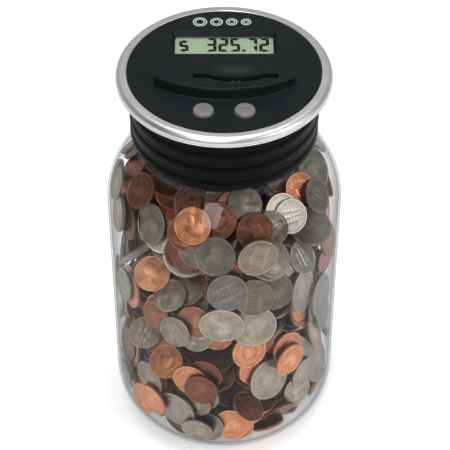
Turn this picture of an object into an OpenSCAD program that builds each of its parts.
// Digital coin counting jar: a clear jar of coins under a screw-on counting lid.
// Millimetres. Z is up, the front is -Y, and the origin is the middle of the jar's foot.

/* [Jar] */
// Outer radius of the jar's straight wall
jar_r = 62; // [60:0.5:64]
// Thickness of the jar's moulded wall
jar_wall = 1.2; // [0.9:0.1:1.5]
// Radius of the rounded foot corner
foot_r = 19.3; // [17:0.1:20]
// Height where the straight wall ends and the shoulder begins
shoulder_z = 148.7; // [140:0.1:149]
// Radius of the shoulder's arc
shoulder_r = 41; // [39:0.5:43]
// Radius of the foot's pushed-up dome at the table
dome_r = 36; // [30:1:38]
// Height of the foot's pushed-up dome
dome_h = 5; // [3:0.5:7]

/* [Neck] */
// Outer radius of the jar's neck
neck_r = 43.5; // [43:0.1:43.6]
// Thickness of the neck's wall
neck_wall = 1.5; // [1.2:0.1:1.6]
// Outer radius of the bead round the foot of the neck
bead_r = 47.3; // [46:0.1:48.5]
// Rise of the screw ridge in one turn
thread_pitch = 5; // [4:0.5:6]
// Height that a screw ridge stands out from its wall
thread_depth = 1.5; // [1.2:0.1:1.5]

/* [Coins] */
// Height of the top of the coins
heap_top_z = 182; // [60:1:184]
// Gap between the coins' outline and the jar's wall
heap_gap = 0.4; // [0.3:0.1:1]

/* [Lid] */
// Height of the face panel and of the bezel's top above the table
face_z = 232; // [231:0.5:234]
// Outer radius of the ribbed collar
collar_r = 48; // [47.9:0.05:49]
// Inner radius of the ribbed collar
collar_bore_r = 45.5; // [45.4:0.1:45.8]
// Height of the ribbed collar's skirt, below its top web
collar_h = 32.8; // [30:0.1:34]
// How far a collar rib stands out from the grooves beside it
rib_h = 0.8; // [0.5:0.1:1]
// Distance from one collar rib to the next
rib_pitch = 9; // [8:0.5:10]
// Outer radius of the silver bezel
bezel_r = 54; // [52:0.5:56]
// Height of the silver bezel
bezel_h = 4.8; // [4.4:0.1:4.8]
// Radius of the bezel's rounded upper edge
bezel_round = 3.1; // [1.4:0.1:3.2]

/* [Face panel] */
// Radius of the black face panel
panel_r = 48.1; // [47.8:0.1:48.2]
// Thickness of the face panel
panel_t = 2; // [1.6:0.1:2]
// Distance from the lid's centre to the hump's long axis, towards the front
hump_front = 11.8; // [11:0.1:13]
// Half length of the almond-shaped hump
hump_half_l = 34.6; // [33:0.1:35]
// Half width of the almond-shaped hump
hump_half_w = 12.1; // [11:0.1:13]
// Height of the hump above the face panel
hump_h = 6.5; // [6:0.1:7]
// How much of the hump's pointed ends is cut off round
hump_blunt = 2.4; // [1:0.1:3]
// Depth of the thumb scoop cut across the slot
scoop_depth = 2.75; // [2:0.05:3]

/* [Coin slot] */
// Length of the coin slot, which takes a coin up to about 31 mm across
slot_l = 41.4; // [38:0.1:42]
// Width of the coin slot
slot_w = 3.4; // [3.2:0.1:3.5]
// Middle of the coin slot, to the right of the lid's centre
slot_x = 5.6; // [4:0.1:6]
// Distance of the coin slot from the lid's centre, towards the front
slot_front = 13.2; // [13:0.1:13.4]
// Distance from a gauge arm's pivot to its tip circle
arm_l = 17.9; // [17:0.1:18]
// Radius of a gauge arm's tip
arm_tip_r = 1.2; // [1:0.1:1.2]
// Radius of a gauge arm's axle
arm_axle_r = 1.5; // [1.2:0.1:1.6]
// Radial clearance of a gauge arm's axle in its bearing
axle_clearance = 0.05; // [0.03:0.01:0.08]

/* [Display] */
// Width of the display recess at the face
recess_w = 53.2; // [50:0.1:54]
// Depth, front to back, of the display recess at the face
recess_d = 19.3; // [18:0.1:20]
// Distance of the display's middle from the lid's centre, towards the back
display_back = 21.95; // [21.5:0.05:22]
// How far the display recess is sunk
recess_sink = 2.5; // [2:0.1:2.5]
// Width of the sloped border round the display window
recess_slope = 1.65; // [1:0.05:2]
// Radius of the display window's corners
window_corner_r = 1.5; // [1:0.1:2]
// Height of a displayed digit
digit_h = 11; // [9:0.1:11.2]
// Width of a displayed digit
digit_w = 5.1; // [4.4:0.1:5.2]
// Width of a digit's stroke
stroke_w = 1.7; // [1:0.05:1.9]

/* [Buttons] */
// Radius of a push button
button_r = 5.15; // [4.8:0.05:5.3]
// Radius of a button's hole in the face panel
button_hole_r = 5.7; // [5.6:0.05:5.8]
// Distance of each button from the lid's middle line
button_x = 10; // [9:0.1:11]
// Distance of the buttons from the lid's centre, towards the front
button_front = 32.3; // [32:0.1:33]
// How far a button stands above the face panel
button_proud = 1.5; // [1.4:0.1:2.5]

/* [Inner tray] */
// Outer radius of the tray where it hangs in the jar's neck
tray_r = 41; // [40.8:0.1:41]
// Thickness of the tray's walls
tray_wall = 1.5; // [1.2:0.1:1.5]
// Depth of the tray's underside below the face
tray_depth = 29; // [28.5:0.5:30]

/* [Batteries] */
// Radius of a battery
cell_r = 5.25; // [5:0.05:5.25]
// Length of a battery with its button
cell_l = 44.5; // [44:0.1:45]

/* [Fasteners] */
// Radius of a screw's thread
screw_r = 1.3; // [1.1:0.1:1.3]
// Radius of a screw's head
screw_head_r = 2.5; // [2.2:0.1:2.6]

/* [Hidden] */
$fn = 96;
eps = 0.01;            // overlap that makes two shapes of one piece join
far = 300;             // larger than the whole object
clear = 0.4;           // gap between pieces that move past each other

// Jar heights and centres
neck_top_z = face_z - 10.5;
shoulder_c = jar_r - shoulder_r;
bead_top_z = 192;
bead_t = 2.5;
dome_ball_r = (dome_r * dome_r + dome_h * dome_h) / (2 * dome_h);
shoulder_fillet = 3;
heap_core_r = 40;      // air between the loose coins, gathered into one closed hollow
thread_z = 203;        // where the neck's screw ridge starts
thread_root_w = 2.2;
thread_tip_w = 1;
thread_gap = 0.35;     // gap between the two ridges' flanks
thread_play = 0.2;     // how far the lid's ridge sits up from the middle of its gap
ridge_step = 6;        // degrees from one ring of a ridge to the next
ridge_sink = 0.3;      // how far a ridge's root is sunk into its wall

// Lid heights
panel_z = face_z - panel_t;
bezel_z = face_z - bezel_h;
collar_top_z = bezel_z - 0.2;
web_z = collar_top_z - 2.5;
collar_z = collar_top_z - collar_h;
seal_z = neck_top_z + 0.3;
seal_h = web_z - seal_z - 0.3;
ledge_r = 45.8;
tray_z = face_z - tray_depth;
tray_floor_t = 1.8;
tray_step_r = tray_r + 2;
tray_step_t = 1.2;
flange_r = 45.2;
rib_r = 6;             // radius of a rib's rounded section
first_rib_z = collar_z + 2.2;
rib_count = 4;

// Hump: two arcs, cut off at both ends by a third one
hump_arc_r = (pow(hump_half_l + hump_blunt, 2) + pow(hump_half_w, 2)) / (2 * hump_half_w);
hump_arc_y = hump_arc_r - hump_half_w;
hump_edge = 1;         // radius of the hump's top edge and of its foot
scoop_mid_r = 16.1;    // scoop's cross section, and the arc along it
scoop_arc_r = 42.3;
scoop_front = 13;

// Gauge arms and their chute
pivot_z = face_z - 6;
pivot_reach = 18;      // from the slot's middle to each pivot
arm_rest = 22.6;       // degrees that an arm leans up at rest
arm_hub_r = 2.6;
arm_t = 2.8;
chute_gap = 3.6;
chute_wall = 1.4;
chute_l = 42.4;
slot_y = -slot_front;
pivot_xs = [slot_x - pivot_reach, slot_x + pivot_reach];
spring_y = slot_y + chute_gap / 2 + chute_wall + 0.3;
spring_wire_r = 0.2;
spring_turns = 4;
spring_pitch = 0.6;
wiper_y = slot_y + 7.9;
wiper_t = 0.6;
wiper_l = 8;
sensor_y = slot_y + 9.6;
sensor_t = 1.2;

// Display stack
board_z = face_z - 11.6;
board_t = 1.6;
board_r = 38.6;
board_top = board_z + board_t;
window_w = recess_w - 2 * recess_slope;
window_d = recess_d - 2 * recess_slope;
window_t = 1;
window_z = face_z - recess_sink - window_t;
window_lip = 0.4;      // height of the window opening's upright edge
lcd_t = 2.3;
lcd_z = window_z - 0.3 - lcd_t;
lcd_w = 51;
lcd_d = 18.3;
print_t = 0.1;
digit_pitch = 6;
stroke_gap = 0.15;
digit_y = 24.5;
digits = [[3, 0], [2, 1], [5, 2], [7, 3.45], [2, 4.45]];
first_digit_x = -6.4;
point_x = 10;
dollar_x = -20.4;
segment_sets = [[1, 1, 1, 1, 1, 1, 0], [0, 1, 1, 0, 0, 0, 0], [1, 1, 0, 1, 1, 0, 1], [1, 1, 1, 1, 0, 0, 1],
                [0, 1, 1, 0, 0, 1, 1], [1, 0, 1, 1, 0, 1, 1], [1, 0, 1, 1, 1, 1, 1], [1, 1, 1, 0, 0, 0, 0],
                [1, 1, 1, 1, 1, 1, 1], [1, 1, 1, 1, 0, 1, 1]];

mark_y = 38.8;         // printed mark's distance behind the lid's centre

// Batteries
cell_z = tray_z + 9.5;
cell_ys = [10.2, 21.4];
contact_x = 25.6;
contact_t = 0.4;
contact_w = 7;
door_w = 54;
door_d = 25;
door_y = 15.8;
door_t = 1.6;
door_tab_y = 32.6;
door_tab_r = 4;

// Screws
screw_places = [[-27, -23], [27, -23], [-33, 12], [33, 12]];
post_r = 3;
screw_head_h = 1.8;
post_split_z = tray_z + 12;

black = [0.07, 0.07, 0.08];
panel_black = [0.12, 0.14, 0.15];
silver = [0.66, 0.65, 0.63];
button_grey = [0.54, 0.51, 0.53];
white_nylon = [0.85, 0.85, 0.82];

// ---- Shared shapes ----

// A flat ring between two radii
module ring(outer, inner, h) {
    difference() {
        cylinder(r = outer, h = h);
        translate([0, 0, -1]) cylinder(r = inner, h = h + 2);
    }
}

// A box centred in x and y, standing on its own floor
module block(w, d, h) {
    translate([-w / 2, -d / 2, 0]) cube([w, d, h]);
}

// A round bar that lies along Y and starts at y = 0
module bar_y(r, l) {
    rotate([-90, 0, 0]) cylinder(r = r, h = l);
}

// Solid of revolution of the jar's outline, drawn in by inset, with no neck
module jar_outline(inset) {
    intersection() {
        union() {
            translate([jar_r - foot_r, foot_r]) circle(r = foot_r - inset);
            translate([0, inset]) square([jar_r - foot_r, foot_r]);
            translate([0, foot_r]) square([jar_r - inset, shoulder_z - foot_r]);
            translate([shoulder_c, shoulder_z]) circle(r = shoulder_r - inset);
        }
        square([jar_r, far]);
    }
}

// The dome pushed up into the foot, grown by extra
module dome_outline(extra) {
    intersection() {
        translate([0, dome_h - dome_ball_r]) circle(r = dome_ball_r + extra);
        translate([0, -far]) square([far, 2 * far]);
    }
}

// One ring of a screw ridge: root, tip, tip, root, from the bottom up
function ridge_ring(root_r, tip_r, z, a) = [
    [root_r * cos(a), root_r * sin(a), z - thread_root_w / 2],
    [tip_r * cos(a), tip_r * sin(a), z - thread_tip_w / 2],
    [tip_r * cos(a), tip_r * sin(a), z + thread_tip_w / 2],
    [root_r * cos(a), root_r * sin(a), z + thread_root_w / 2]];

// A right-hand screw ridge whose two ends fade into the wall
module screw_ridge(root_r, tip_r, start_z, from_a, to_a) {
    n = round((to_a - from_a) / ridge_step);
    fade = 4;
    rings = [for (i = [0:n]) let (a = from_a + i * ridge_step, k = min(1, (i + 1) / fade, (n - i + 1) / fade))
             ridge_ring(root_r, root_r + (tip_r - root_r) * k, start_z + thread_pitch * a / 360, a)];
    points = [for (r = rings) for (p = r) p];
    inward = tip_r < root_r;
    sides = [for (i = [0:n - 1]) for (j = [0:3]) let (a = 4 * i + j, b = 4 * i + (j + 1) % 4)
             each [[a, b, b + 4], [a, b + 4, a + 4]]];
    ends = [[0, 2, 1], [0, 3, 2], [4 * n, 4 * n + 1, 4 * n + 2], [4 * n, 4 * n + 2, 4 * n + 3]];
    faces = [for (f = concat(sides, ends)) inward ? [f[0], f[2], f[1]] : f];
    polyhedron(points, faces);
}

// A wire coiled about Y, starting at y = 0, with its free ends left straight
module coil_y(mean_r, wire_r, pitch, turns) {
    per_turn = 20;
    around = 6;
    n = per_turn * turns;
    points = [for (i = [0:n]) for (j = [0:around - 1])
              let (a = 360 * i / per_turn, b = 360 * j / around, r = mean_r + wire_r * cos(b))
              [r * cos(a), pitch * i / per_turn + wire_r * sin(b), r * sin(a)]];
    sides = [for (i = [0:n - 1]) for (j = [0:around - 1])
             let (a = around * i + j, b = around * i + (j + 1) % around)
             each [[a, b + around, b], [a, a + around, b + around]]];
    start = [[for (j = [0:around - 1]) j]];
    end = [[for (j = [around - 1:-1:0]) around * n + j]];
    polyhedron(points, concat(sides, start, end));
}

// ---- Jar and its contents ----

module jar_body() {
    bead_z = bead_top_z - bead_t;
    fillet_r = neck_r + shoulder_fillet;
    fillet_z = shoulder_z + sqrt(pow(shoulder_r + shoulder_fillet, 2) - pow(fillet_r - shoulder_c, 2));
    color([0.88, 0.9, 0.9, 0.35]) {
        rotate_extrude() {
            difference() {
                union() {
                    jar_outline(0);
                    translate([0, shoulder_z]) square([neck_r, neck_top_z - shoulder_z]);
                    translate([0, bead_z]) square([bead_r - bead_t / 2, bead_t]);
                    translate([bead_r - bead_t / 2, bead_z + bead_t / 2]) circle(r = bead_t / 2);
                    difference() {
                        translate([shoulder_c, shoulder_z])
                            square([fillet_r - shoulder_c, fillet_z - shoulder_z]);
                        translate([fillet_r, fillet_z]) circle(r = shoulder_fillet);
                        translate([fillet_r - 2, 0]) square([far, far]);
                    }
                }
                difference() {
                    union() {
                        jar_outline(jar_wall);
                        translate([0, shoulder_z]) square([neck_r - neck_wall, far]);
                    }
                    dome_outline(jar_wall);
                }
                dome_outline(0);
            }
        }
        screw_ridge(neck_r - ridge_sink, neck_r + thread_depth, thread_z, 0, 450);
    }
}

// The loose coins, as the closed outline that they fill, with the air between them inside
module coin_heap() {
    inset = jar_wall + heap_gap;
    color([0.62, 0.55, 0.47]) rotate_extrude() {
        difference() {
            intersection() {
                jar_outline(inset);
                square([jar_r, heap_top_z]);
            }
            dome_outline(inset);
            translate([0, foot_r]) square([heap_core_r, heap_top_z - 2 * foot_r]);
        }
    }
}

// ---- Lid shell ----

// Soft washer between the neck's rim and the lid
module neck_seal() {
    color([0.3, 0.3, 0.31]) translate([0, 0, seal_z]) ring(collar_bore_r - clear, tray_r + clear, seal_h);
}

module lid_collar() {
    color(black) {
        difference() {
            union() {
                translate([0, 0, collar_z]) cylinder(r = collar_r - rib_h, h = collar_top_z - collar_z);
                rotate_extrude() {
                    for (i = [0:rib_count - 1]) {
                        intersection() {
                            translate([collar_r - rib_r, first_rib_z + i * rib_pitch]) circle(r = rib_r);
                            translate([collar_bore_r + 1, collar_z]) square([5, collar_top_z - collar_z]);
                        }
                    }
                }
            }
            translate([0, 0, collar_z - 1]) cylinder(r = collar_bore_r, h = web_z - collar_z + 1);
            translate([0, 0, collar_z]) cylinder(r = tray_step_r + 0.1, h = far);
        }
        screw_ridge(collar_bore_r + ridge_sink, collar_bore_r - thread_depth,
                    thread_z - (thread_root_w + thread_tip_w) / 2 - thread_gap + thread_play, 90, 450);
    }
}

// Silver ring with a rounded upper edge over a grooved lip, and a sunk ledge for the face panel
module bezel_ring() {
    chamfer = 0.4;
    inner = panel_r + 0.2;
    lip_round = 0.5;
    groove_w = 0.35;
    groove_z = bezel_z + 1.1;
    color(silver) rotate_extrude() difference() {
        union() {
            translate([ledge_r, bezel_z]) square([bezel_r - bezel_round - ledge_r, bezel_h]);
            translate([bezel_r - bezel_round, face_z - bezel_round]) circle(r = bezel_round);
            translate([bezel_r - lip_round, bezel_z + lip_round]) circle(r = lip_round);
            translate([ledge_r, bezel_z]) square([bezel_r - lip_round - ledge_r, 2 * lip_round]);
            translate([ledge_r, bezel_z + lip_round])
                square([bezel_r - ledge_r, bezel_h - bezel_round - lip_round]);
        }
        translate([ledge_r - 1, panel_z]) square([inner - ledge_r + 1, panel_t + 1]);
        translate([bezel_r - groove_w, groove_z]) square([1, groove_w]);
        polygon([[inner - 1, face_z - chamfer - 1], [inner + chamfer + 1, face_z + 1],
                 [inner - 1, face_z + 1]]);
    }
}

// A round boss with the hump's upright wall, rounded top edge and flared foot
module hump_boss(r) {
    rotate_extrude() {
        translate([0, -panel_t / 2]) square([r, panel_t / 2 + hump_h - hump_edge]);
        square([r - hump_edge, hump_h]);
        translate([r - hump_edge, hump_h - hump_edge]) circle(r = hump_edge);
        difference() {
            translate([0, -panel_t / 2]) square([r + hump_edge, panel_t / 2 + hump_edge]);
            translate([r + hump_edge, hump_edge]) circle(r = hump_edge);
        }
    }
}

// The almond-shaped hump, with its long axis on y = 0 and its foot at z = 0
module hump() {
    intersection() {
        translate([0, hump_arc_y, 0]) hump_boss(hump_arc_r);
        translate([0, -hump_arc_y, 0]) hump_boss(hump_arc_r);
        hump_boss(hump_half_l);
    }
}

// The spindle that cuts the thumb scoop
module scoop() {
    axis_z = face_z + hump_h + scoop_mid_r - scoop_depth;
    inner_r = 9;
    translate([slot_x, -scoop_front, axis_z]) rotate([0, 90, 0]) rotate_extrude() intersection() {
        translate([scoop_mid_r - scoop_arc_r, 0]) circle(r = scoop_arc_r);
        translate([inner_r, -slot_l]) square([scoop_mid_r, 2 * slot_l]);
    }
}

// The display recess: a frustum with sloped walls, from two crossed trapezoids
module recess() {
    low = face_z - recess_sink + window_lip;
    up = 1;
    grow = recess_slope * up / (recess_sink - window_lip);
    intersection() {
        translate([0, display_back + recess_d, 0]) rotate([90, 0, 0]) linear_extrude(2 * recess_d)
            polygon([[-window_w / 2, low], [window_w / 2, low], [recess_w / 2 + grow, face_z + up],
                     [-recess_w / 2 - grow, face_z + up]]);
        translate([-recess_w, display_back, 0]) rotate([90, 0, 90]) linear_extrude(2 * recess_w)
            polygon([[-window_d / 2, low], [window_d / 2, low], [recess_d / 2 + grow, face_z + up],
                     [-recess_d / 2 - grow, face_z + up]]);
    }
}

// The upright opening under the recess, with rounded corners
module window_opening() {
    h = window_t + window_lip + eps;
    inner_w = window_w - 2 * window_corner_r;
    inner_d = window_d - 2 * window_corner_r;
    block(window_w, inner_d, h);
    block(inner_w, window_d, h);
    for (x = [-1, 1], y = [-1, 1]) translate([x * inner_w / 2, y * inner_d / 2, 0])
        cylinder(r = window_corner_r, h = h);
}

module face_panel() {
    boss_z = window_z + 0.1;
    boss_corner_r = 41.4;
    color(panel_black) {
        difference() {
            union() {
                translate([0, 0, panel_z]) cylinder(r = panel_r, h = panel_t);
                translate([0, -hump_front, face_z]) hump();
                intersection() {
                    translate([0, display_back, boss_z])
                        block(window_w + 5, window_d + 5, panel_z - boss_z + eps);
                    translate([0, 0, boss_z]) cylinder(r = boss_corner_r, h = panel_t + 5);
                }
            }
            scoop();
            translate([slot_x, slot_y, panel_z - 1]) block(slot_l, slot_w, hump_h + far);
            recess();
            translate([0, display_back, window_z]) window_opening();
            translate([0, display_back, window_z - 1]) block(window_w + 1.8, window_d + 1.8, window_t + 1);
            for (side = [-1, 1]) translate([side * button_x, -button_front, panel_z - 1])
                cylinder(r = button_hole_r, h = panel_t + 2);
        }
        for (p = screw_places) translate([p[0], p[1], post_split_z + 0.1]) {
            ring(post_r, screw_r + 0.05, panel_z - post_split_z - 0.1 + eps);
        }
    }
}

// A row of plain coin outlines, printed in pale ink behind the display
module printed_mark() {
    ink_t = 0.08;
    line_w = 0.5;
    radii = [3.6, 3.2, 2.9, 2.6];
    xs = [-12.4, -3.9, 3.9, 11.2];
    color([0.86, 0.85, 0.8]) for (i = [0:3]) translate([xs[i], mark_y, face_z]) {
        ring(radii[i], radii[i] - line_w, ink_t);
        ring(radii[i] - 1.2, radii[i] - 1.6, ink_t);
    }
}

// ---- Display ----

module display_window() {
    color([0.8, 0.85, 0.8, 0.3]) translate([0, display_back, window_z])
        block(window_w + 1.6, window_d + 1.6, window_t);
}

module lcd_glass() {
    color([0.68, 0.74, 0.6]) translate([0, display_back, lcd_z]) block(lcd_w, lcd_d, lcd_t);
}

// The outline of one stroke of a digit w wide and h high: kind 0 lies along the top,
// kind 1 stands at the upper right and kind 2 crosses the middle
function stroke_outline(kind, w, h) = let (x = w / 2, y = h / 2, s = stroke_w, g = stroke_gap)
    kind == 0 ? [[g - x, y], [x - g, y], [x - g - s, y - s], [g + s - x, y - s]] :
    kind == 1 ? [[x, y - g], [x, g], [x - s / 2, g + s / 2], [x - s, g + s / 2], [x - s, y - g - s]] :
    [[g - x, 0], [g + s / 2 - x, s / 2], [x - s / 2 - g, s / 2], [x - g, 0], [x - s / 2 - g, -s / 2],
     [g + s / 2 - x, -s / 2]];

// The strokes that are on in one set of seven, starting at the top and going clockwise, then the middle
module digit_strokes(on, w, h) {
    strokes = [[0, 1, 1], [1, 1, 1], [1, 1, -1], [0, 1, -1], [1, -1, -1], [1, -1, 1], [2, 1, 1]];
    for (i = [0:6]) if (on[i] == 1) linear_extrude(print_t)
        polygon([for (p = stroke_outline(strokes[i][0], w, h)) [p[0] * strokes[i][1], p[1] * strokes[i][2]]]);
}

// A sum of money as the display shows it
module lcd_segments() {
    dollar_h = 9.6;
    color([0.08, 0.09, 0.08]) translate([0, digit_y, lcd_z + lcd_t]) {
        for (d = digits) translate([first_digit_x + d[1] * digit_pitch, 0, 0])
            digit_strokes(segment_sets[d[0]], digit_w, digit_h);
        translate([point_x, -digit_h / 2 + stroke_w / 2, 0]) block(stroke_w, stroke_w, print_t);
        translate([dollar_x, -0.9, 0]) {
            digit_strokes([1, 0, 1, 1, 0, 1, 1], 4.8, dollar_h - 1.4);
            for (side = [-1, 1]) translate([0, side * (dollar_h / 2 - 0.3), 0]) block(0.9, 0.9, print_t);
        }
    }
}

// Bright sheet behind the liquid crystal glass
module lcd_reflector() {
    color([0.8, 0.82, 0.78]) translate([0, display_back, lcd_z - 0.3]) block(lcd_w - 3, lcd_d - 5.4, 0.25);
}

// Frame that holds the liquid crystal glass above the main board
module lcd_frame() {
    low_r = tray_r - tray_wall - 0.3;
    high_r = tray_step_r - tray_wall - 0.2;
    step_z = web_z + tray_step_t + 0.1;
    color(white_nylon) difference() {
        intersection() {
            translate([0, display_back, board_top + 0.05])
                block(lcd_w + 2.4, lcd_d + 2.4, lcd_z + lcd_t - board_top - 0.1);
            union() {
                translate([0, 0, board_z]) cylinder(r = low_r, h = step_z - board_z);
                translate([0, 0, step_z - eps]) cylinder(r = high_r, h = 10);
            }
        }
        translate([0, display_back, board_z]) block(lcd_w + 0.2, lcd_d + 0.2, 20);
    }
}

// Rubber strips that join the glass to the board
module zebra_strips() {
    h = lcd_z - board_top - 0.1;
    color([0.75, 0.45, 0.5]) for (side = [-1, 1])
        translate([0, display_back + side * (lcd_d / 2 - 1.3), board_top + 0.05]) block(44, 2, h);
}

// ---- Buttons ----

// A push button cap: rounded top edge, retaining flange under the panel, and a stem
module button_cap() {
    edge = 1.3;
    top = face_z + button_proud;
    flange_top = panel_z - 0.3;
    stem_z = board_top + 3.2;
    rotate_extrude() {
        translate([0, flange_top - 1.2]) square([button_hole_r + 0.7, 1.2]);
        translate([0, flange_top - eps]) square([button_r, top - flange_top - edge]);
        translate([0, top - edge - 1]) square([button_r - edge, edge + 1]);
        translate([button_r - edge, top - edge]) circle(r = edge);
        translate([0, stem_z]) square([2, flange_top - stem_z]);
    }
}

// A groove that marks a button: a bar, turned by a
module mark_bar(a) {
    translate([0, 0, face_z + button_proud - 0.3]) rotate([0, 0, a]) block(5.2, 0.9, 1);
}

module plus_button() {
    color(button_grey) translate([-button_x, -button_front, 0]) difference() {
        button_cap();
        mark_bar(0);
        mark_bar(90);
    }
}

module minus_button() {
    color(button_grey) translate([button_x, -button_front, 0]) difference() {
        button_cap();
        mark_bar(0);
    }
}

// Small switches on the main board under the two buttons
module tact_switches() {
    color([0.2, 0.2, 0.22]) for (side = [-1, 1]) translate([side * button_x, -button_front, board_top]) {
        block(6, 6, 1.2);
        cylinder(r = 1.7, h = 1.8);
    }
}

// ---- Coin chute and gauge arms ----

// One half of the chute that the coin falls through: an end-walled plate with two bearings
module chute_half(front) {
    low = tray_z + 0.2;
    h = panel_z - low - 0.1;
    d = chute_gap / 2 + chute_wall;
    y0 = front ? slot_y - d : slot_y + 0.05;
    difference() {
        translate([slot_x - chute_l / 2 - chute_wall, y0, low]) cube([chute_l + 2 * chute_wall, d - 0.05, h]);
        translate([slot_x, slot_y, low - 1]) block(chute_l, chute_gap, h + 2);
        for (x = pivot_xs) translate([x, slot_y - 10, pivot_z]) bar_y(arm_axle_r + axle_clearance, 20);
    }
}

module chute_front() {
    color([0.16, 0.16, 0.17]) chute_half(true);
}

module chute_back() {
    color([0.16, 0.16, 0.17]) chute_half(false);
}

// A gauge arm that leans to the right from its pivot at the origin, and its axle along Y
module arm_shape() {
    k = (arm_hub_r - arm_tip_r) / arm_l;
    s = sqrt(1 - k * k);
    rotate([0, -arm_rest, 0]) rotate([90, 0, 0]) translate([0, 0, -arm_t / 2]) linear_extrude(arm_t) {
        circle(r = arm_hub_r);
        translate([arm_l, 0]) circle(r = arm_tip_r);
        polygon([[arm_hub_r * k, arm_hub_r * s], [arm_hub_r * k, -arm_hub_r * s],
                 [arm_l + arm_tip_r * k, -arm_tip_r * s], [arm_l + arm_tip_r * k, arm_tip_r * s]]);
    }
    front_l = chute_gap / 2 + chute_wall + 0.4;
    back_l = wiper_y + wiper_t + 1 - slot_y;
    translate([0, -front_l, 0]) bar_y(arm_axle_r, front_l + back_l);
}

module gauge_arm_left() {
    color([0.6, 0.6, 0.6]) translate([pivot_xs[0], slot_y, pivot_z]) arm_shape();
}

module gauge_arm_right() {
    color([0.6, 0.6, 0.6]) translate([pivot_xs[1], slot_y, pivot_z]) mirror([1, 0, 0]) arm_shape();
}

// A brass finger, pressed on an arm's axle, that sweeps over the sensor board
module wiper_shape() {
    rotate([90, 0, 0]) translate([0, 0, -wiper_t]) linear_extrude(wiper_t) difference() {
        union() {
            circle(r = 3);
            translate([0, -0.9]) square([wiper_l, 1.8]);
            translate([wiper_l, 0]) circle(r = 0.9);
        }
        circle(r = arm_axle_r + 0.01);
    }
    translate([wiper_l, wiper_t, 0]) bar_y(0.5, 0.5);
}

module arm_wiper_left() {
    color([0.85, 0.65, 0.3]) translate([pivot_xs[0], wiper_y, pivot_z]) wiper_shape();
}

module arm_wiper_right() {
    color([0.85, 0.65, 0.3]) translate([pivot_xs[1], wiper_y, pivot_z]) mirror([1, 0, 0]) wiper_shape();
}

// The springs that close the arms, coiled round their axles
module arm_springs() {
    color([0.7, 0.7, 0.72]) for (x = pivot_xs) translate([x, spring_y + spring_wire_r, pivot_z])
        coil_y(arm_axle_r + 0.7, spring_wire_r, spring_pitch, spring_turns);
}

module sensor_board() {
    half = 24.5;
    low = board_z - 10;
    color([0.1, 0.4, 0.2]) translate([slot_x, sensor_y + sensor_t / 2, low])
        block(2 * half, sensor_t, pivot_z + 3 - low);
}

// Arc-shaped contacts that the wipers sweep over
module sensor_tracks() {
    track_t = 0.15;
    track_w = 2.4;
    color([0.85, 0.65, 0.3]) for (x = pivot_xs) translate([x, sensor_y, pivot_z])
        rotate([90, 0, 0]) linear_extrude(track_t) difference() {
            circle(r = wiper_l + track_w / 2);
            circle(r = wiper_l - track_w / 2);
            translate([-far, 0]) square([2 * far, far]);
            translate([-far * (x < slot_x ? 1 : 0), -far]) translate([x < slot_x ? -2 : 2, 0])
                square([far, far]);
        }
}

// ---- Boards ----

module main_board() {
    cut_w = 2 * 26.5;
    cut_front = slot_y - chute_gap / 2 - chute_wall - 0.6;
    cut_back = sensor_y + sensor_t + 0.4;
    color([0.1, 0.42, 0.22]) translate([0, 0, board_z]) difference() {
        cylinder(r = board_r, h = board_t);
        translate([slot_x - cut_w / 2, cut_front, -1]) cube([cut_w, cut_back - cut_front, board_t + 2]);
        for (p = screw_places) translate([p[0], p[1], -1]) cylinder(r = post_r + 0.4, h = board_t + 2);
        for (side = [-1, 1], y = cell_ys) translate([side * contact_x, y, -1]) block(1, 2.2, board_t + 2);
    }
}

// Sealed chip, crystal and small parts on the main board
module board_parts() {
    blob_r = 5;
    blob_h = 1.6;
    ball_r = (blob_r * blob_r + blob_h * blob_h) / (2 * blob_h);
    color([0.1, 0.1, 0.1]) translate([-30, 0, board_top]) intersection() {
        translate([0, 0, blob_h - ball_r]) sphere(r = ball_r);
        cylinder(r = blob_r + 1, h = blob_h + 1);
    }
    color([0.75, 0.75, 0.72]) {
        for (i = [0:3]) translate([-6 + 4 * i, 4.4, board_top]) block(1.6, 0.8, 0.5);
        for (i = [0:2]) translate([-4 + 4 * i, -24, board_top]) block(1.6, 0.8, 0.5);
        translate([20, 4, board_top]) block(7, 3, 2.5);
    }
}

// Bent pins that join the sensor board to the main board
module link_pins() {
    pin = 0.6;
    back = sensor_y + sensor_t;
    color([0.85, 0.7, 0.35]) for (i = [0:7]) translate([slot_x - 8.9 + 2.54 * i, back + 0.01, board_top]) {
        translate([-pin / 2, 0, 0.4]) cube([pin, 2.4, pin]);
        translate([-pin / 2, 1.8, 0.01]) cube([pin, pin, 0.5]);
    }
}

// ---- Tray, batteries and fasteners ----

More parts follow.
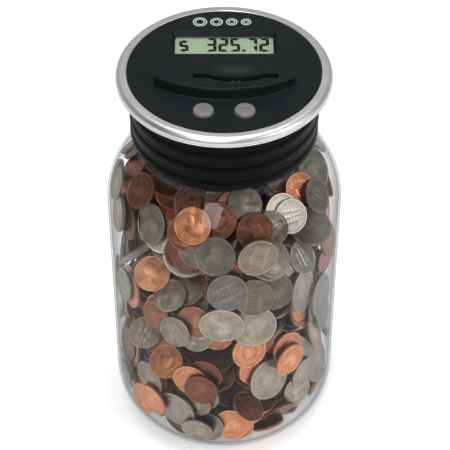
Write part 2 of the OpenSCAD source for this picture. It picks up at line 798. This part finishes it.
module lid_tray() {
    floor_top = tray_z + tray_floor_t;
    wall_top = web_z + tray_step_t;
    flange_z = collar_top_z;
    bay_w = 2 * (contact_x + contact_t) + 4;
    bay_d = 25.6;
    bay_h = 14.5;
    chute_d = chute_gap + 2 * chute_wall;
    color(black) difference() {
        union() {
            translate([0, 0, tray_z]) cylinder(r = tray_r, h = tray_floor_t);
            translate([0, 0, tray_z]) ring(tray_r, tray_r - tray_wall, wall_top - tray_z);
            translate([0, 0, web_z]) ring(tray_step_r, tray_r - tray_wall, tray_step_t);
            translate([0, 0, web_z]) ring(tray_step_r, tray_step_r - tray_wall, flange_z + 1.4 - web_z);
            translate([0, 0, flange_z]) ring(flange_r, tray_step_r - tray_wall, 1.4);
            translate([0, door_y, floor_top - eps]) difference() {
                block(bay_w, bay_d + 2.4, bay_h);
                translate([0, 0, -1]) block(bay_w - 2.4, bay_d, bay_h + 2);
            }
            for (p = screw_places) translate([p[0], p[1], tray_z])
                cylinder(r = screw_head_r + 1.1, h = post_split_z - tray_z);
            translate([0, door_tab_y, tray_z]) cylinder(r = 3.2, h = 11);
        }
        translate([slot_x, slot_y, tray_z - 1]) block(chute_l + 2 * chute_wall + 0.4, chute_d + 0.4, 10);
        translate([0, door_y, tray_z - 1]) block(door_w - 3, door_d - 3, tray_floor_t + 2);
        translate([0, door_y, tray_z - 1]) block(door_w + 0.4, door_d + 0.4, 1 + door_t);
        translate([0, door_tab_y, tray_z - 1]) cylinder(r = door_tab_r + 0.2, h = 1 + door_t);
        translate([-door_tab_r - 0.2, door_y, tray_z - 1])
            cube([2 * door_tab_r + 0.4, door_tab_y - door_y, 1 + door_t]);
        translate([0, door_tab_y, tray_z]) cylinder(r = screw_r + 0.05, h = 9);
        for (p = screw_places) translate([p[0], p[1], tray_z - 1]) {
            cylinder(r = screw_r + 0.3, h = far);
            cylinder(r = screw_head_r + 0.2, h = 1 + screw_head_h + 0.4);
        }
    }
}

// Two small cylindrical cells, lying along x and facing opposite ways
module batteries() {
    nub_l = 0.9;
    color([0.75, 0.55, 0.2]) for (i = [0, 1]) translate([0, cell_ys[i], cell_z])
        rotate([0, 0, 180 * i]) rotate([0, 90, 0]) {
            translate([0, 0, -cell_l / 2]) cylinder(r = cell_r, h = cell_l - nub_l);
            translate([0, 0, cell_l / 2 - nub_l]) cylinder(r = 1.9, h = nub_l);
        }
}

// Plates at both ends of each cell, with a coil spring on the flat end and a tab up to the board
module battery_contacts() {
    spring_l = contact_x - cell_l / 2 - contact_t / 2 - 0.1;
    color([0.8, 0.8, 0.8]) for (i = [0, 1], side = [-1, 1]) translate([side * contact_x, cell_ys[i], 0]) {
        translate([0, 0, cell_z - 4]) block(contact_t, contact_w, 8);
        translate([0, 0, cell_z + 3]) block(contact_t, 1.6, board_top - cell_z - 3);
        if ((i == 0) == (side == -1)) {
            translate([-side * (contact_t / 2 - eps), 0, cell_z]) rotate([0, 0, side * 90])
                coil_y(2.4, 0.3, spring_l / 3.3, 3);
        } else {
            translate([-side * spring_l / 2, 0, cell_z]) rotate([0, 90, 0])
                translate([0, 0, -spring_l / 2]) cylinder(r = 1.5, h = spring_l);
        }
    }
}

module battery_door() {
    color(black) difference() {
        union() {
            translate([0, door_y, tray_z]) block(door_w, door_d, door_t - 0.05);
            translate([0, door_tab_y, tray_z]) cylinder(r = door_tab_r, h = door_t - 0.05);
            translate([-door_tab_r, door_y, tray_z])
                cube([2 * door_tab_r, door_tab_y - door_y, door_t - 0.05]);
        }
        translate([0, door_tab_y, tray_z - 1]) cylinder(r = screw_r + 0.3, h = 5);
        translate([0, door_tab_y, tray_z - 1]) cylinder(r = screw_head_r + 0.2, h = 1.9);
        for (i = [-3:3]) translate([6 * i, door_y, tray_z - 1]) block(1.2, door_d - 8, 1.4);
    }
}

// A pan-headed screw with its head down and its shank up
module screw(shank_l) {
    head_h = 0.85;
    difference() {
        union() {
            cylinder(r = screw_head_r, h = head_h);
            cylinder(r = screw_r, h = shank_l);
        }
        for (a = [0, 90]) rotate([0, 0, a]) translate([0, 0, -1]) block(3, 0.6, 1.5);
    }
}

module battery_door_screw() {
    color([0.7, 0.7, 0.7]) translate([0, door_tab_y, tray_z]) screw(8);
}

module housing_screws() {
    color([0.7, 0.7, 0.7]) for (p = screw_places) translate([p[0], p[1], tray_z + 1.3]) screw(19);
}

jar_body();
coin_heap();
neck_seal();
lid_collar();
bezel_ring();
face_panel();
printed_mark();
display_window();
lcd_glass();
lcd_segments();
lcd_reflector();
lcd_frame();
zebra_strips();
plus_button();
minus_button();
tact_switches();
chute_front();
chute_back();
gauge_arm_left();
gauge_arm_right();
arm_wiper_left();
arm_wiper_right();
arm_springs();
sensor_board();
sensor_tracks();
main_board();
board_parts();
link_pins();
lid_tray();
batteries();
battery_contacts();
battery_door();
battery_door_screw();
housing_screws();
